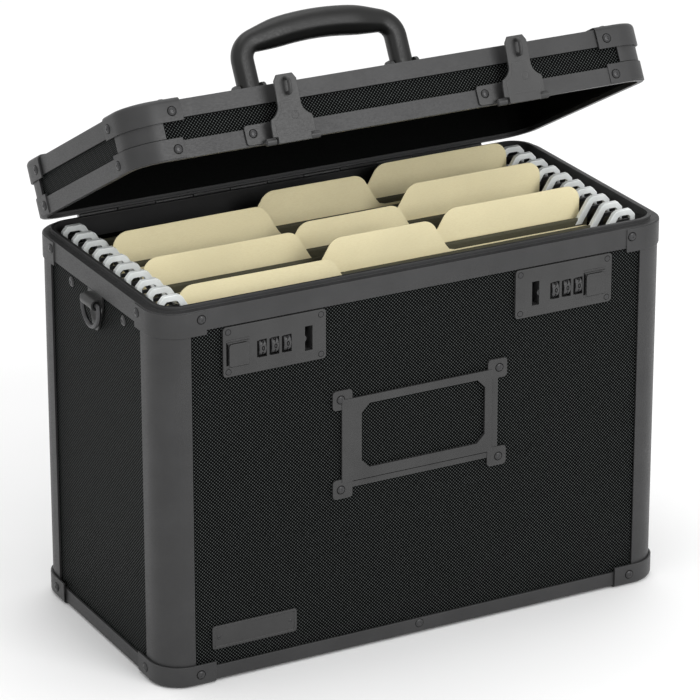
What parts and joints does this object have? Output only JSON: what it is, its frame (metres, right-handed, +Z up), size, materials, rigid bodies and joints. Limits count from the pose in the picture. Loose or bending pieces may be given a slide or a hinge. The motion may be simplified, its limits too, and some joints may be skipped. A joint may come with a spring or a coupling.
{
  "type": "portable locking file tote",
  "caption": "Portable lidded file box of dark woven-look laminate in metal trim, with combination locks, hasps, a carrying handle, strap rings and hanging folders.",
  "frame": {"origin": "on the floor that the four foot caps stand on, under the middle of the bounding box of the case and its open lid", "axes": "+Z up; -Y towards the front with the locks and label holder; +X towards the case's right seen from the front"},
  "size_m": [0.3614, 0.1959, 0.3671],
  "materials": {
    "trim": "satin, dark grey painted",
    "laminate": "satin, embossed weave",
    "hardware": "satin",
    "handle": "satin",
    "dial": "satin",
    "steel": "satin",
    "paper": "matte"
  },
  "bodies": {
    "case": {"bottom_panel": "laminate", "front_panel": "laminate", "back_panel": "laminate", "left_panel": "laminate", "right_panel": "laminate", "case_rim": "trim", "foot_frame": "trim", "post_front_left": "trim", "post_front_right": "trim", "post_back_left": "trim", "post_back_right": "trim", "foot_cap_front_left": "trim", "foot_cap_front_right": "trim", "foot_cap_back_left": "trim", "foot_cap_back_right": "trim", "lock_left": "hardware", "lock_right": "hardware", "label_holder": "hardware", "name_plate": "hardware", "ring_clip_left": "hardware", "ring_clip_right": "hardware", "file_rail_left": "steel", "file_rail_right": "steel", "hinge_leaf_case": "hardware", "hinge_pin": "steel"},
    "lid": {"lid_board": "laminate", "lid_side_band": "laminate", "lid_top_frame": "trim", "lid_lower_rim": "trim", "lid_post_front_left": "trim", "lid_post_front_right": "trim", "lid_post_back_left": "trim", "lid_post_back_right": "trim", "lid_cap_front_left": "trim", "lid_cap_front_right": "trim", "lid_cap_back_left": "trim", "lid_cap_back_right": "trim", "hinge_leaf_lid": "hardware", "handle_bracket_left": "hardware", "handle_bracket_right": "hardware", "hasp_hinge_left": "hardware", "hasp_hinge_right": "hardware"},
    "handle": {"handle": "handle"},
    "hasp_left": {"hasp_left": "hardware"},
    "hasp_right": {"hasp_right": "hardware"},
    "dial_left_1": {"dial_left_1": "dial"},
    "dial_left_2": {"dial_left_2": "dial"},
    "dial_left_3": {"dial_left_3": "dial"},
    "dial_right_1": {"dial_right_1": "dial"},
    "dial_right_2": {"dial_right_2": "dial"},
    "dial_right_3": {"dial_right_3": "dial"},
    "slide_left": {"slide_left": "hardware"},
    "slide_right": {"slide_right": "hardware"},
    "ring_left": {"d_ring_left": "steel"},
    "ring_right": {"d_ring_right": "steel"},
    "folder_1": {"folder_1": "paper"},
    "folder_2": {"folder_2": "paper"},
    "folder_3": {"folder_3": "paper"},
    "folder_4": {"folder_4": "paper"},
    "folder_5": {"folder_5": "paper"}
  },
  "joints": [
    {"name": "lid_hinge", "type": "hinge", "parent": "case", "child": "lid", "pos_m": [0, 0.0826, 0.2416], "axis": [-1, 0, 0], "range_deg": [-28.7, 81.3]},
    {"name": "handle_hinge", "type": "hinge", "parent": "lid", "child": "handle", "pos_m": [0, 0.02443, 0.32464], "axis": [1, 0, 0], "range_deg": [-70, 70]},
    {"name": "hasp_left_hinge", "type": "hinge", "parent": "lid", "child": "hasp_left", "pos_m": [-0.0765, -0.0778, 0.3301], "axis": [-1, 0, 0], "range_deg": [-173, 12]},
    {"name": "hasp_right_hinge", "type": "hinge", "parent": "lid", "child": "hasp_right", "pos_m": [0.0791, -0.0778, 0.3301], "axis": [-1, 0, 0], "range_deg": [-173, 12]},
    {"name": "dial_left_1_spin", "type": "hinge", "parent": "case", "child": "dial_left_1", "pos_m": [-0.107, -0.0917, 0.2106], "axis": [1, 0, 0], "continuous": true},
    {"name": "dial_left_2_spin", "type": "hinge", "parent": "case", "child": "dial_left_2", "pos_m": [-0.0988, -0.0917, 0.2106], "axis": [1, 0, 0], "continuous": true},
    {"name": "dial_left_3_spin", "type": "hinge", "parent": "case", "child": "dial_left_3", "pos_m": [-0.0906, -0.0917, 0.2106], "axis": [1, 0, 0], "continuous": true},
    {"name": "dial_right_1_spin", "type": "hinge", "parent": "case", "child": "dial_right_1", "pos_m": [0.0932, -0.0917, 0.2106], "axis": [1, 0, 0], "continuous": true},
    {"name": "dial_right_2_spin", "type": "hinge", "parent": "case", "child": "dial_right_2", "pos_m": [0.1014, -0.0917, 0.2106], "axis": [1, 0, 0], "continuous": true},
    {"name": "dial_right_3_spin", "type": "hinge", "parent": "case", "child": "dial_right_3", "pos_m": [0.1096, -0.0917, 0.2106], "axis": [1, 0, 0], "continuous": true},
    {"name": "slide_left_travel", "type": "slide", "parent": "case", "child": "slide_left", "axis": [1, 0, 0], "range_m": [0, 0.003], "stiffness_N_per_m": 150},
    {"name": "slide_right_travel", "type": "slide", "parent": "case", "child": "slide_right", "axis": [1, 0, 0], "range_m": [0, 0.003], "stiffness_N_per_m": 150},
    {"name": "ring_left_swing", "type": "hinge", "parent": "case", "child": "ring_left", "pos_m": [-0.1772, -0.0083, 0.2226], "axis": [0, 1, 0], "range_deg": [0, 160]},
    {"name": "ring_right_swing", "type": "hinge", "parent": "case", "child": "ring_right", "pos_m": [0.1772, -0.0083, 0.2226], "axis": [0, -1, 0], "range_deg": [0, 160]},
    {"name": "folder_1_slide", "type": "slide", "parent": "case", "child": "folder_1", "axis": [0, 1, 0], "range_m": [-0.0035, 0.0035]},
    {"name": "folder_2_slide", "type": "slide", "parent": "case", "child": "folder_2", "axis": [0, 1, 0], "range_m": [-0.0035, 0.0035]},
    {"name": "folder_3_slide", "type": "slide", "parent": "case", "child": "folder_3", "axis": [0, 1, 0], "range_m": [-0.0035, 0.0035]},
    {"name": "folder_4_slide", "type": "slide", "parent": "case", "child": "folder_4", "axis": [0, 1, 0], "range_m": [-0.0035, 0.0035]},
    {"name": "folder_5_slide", "type": "slide", "parent": "case", "child": "folder_5", "axis": [0, 1, 0], "range_m": [-0.0035, 0.0035]}
  ]
}
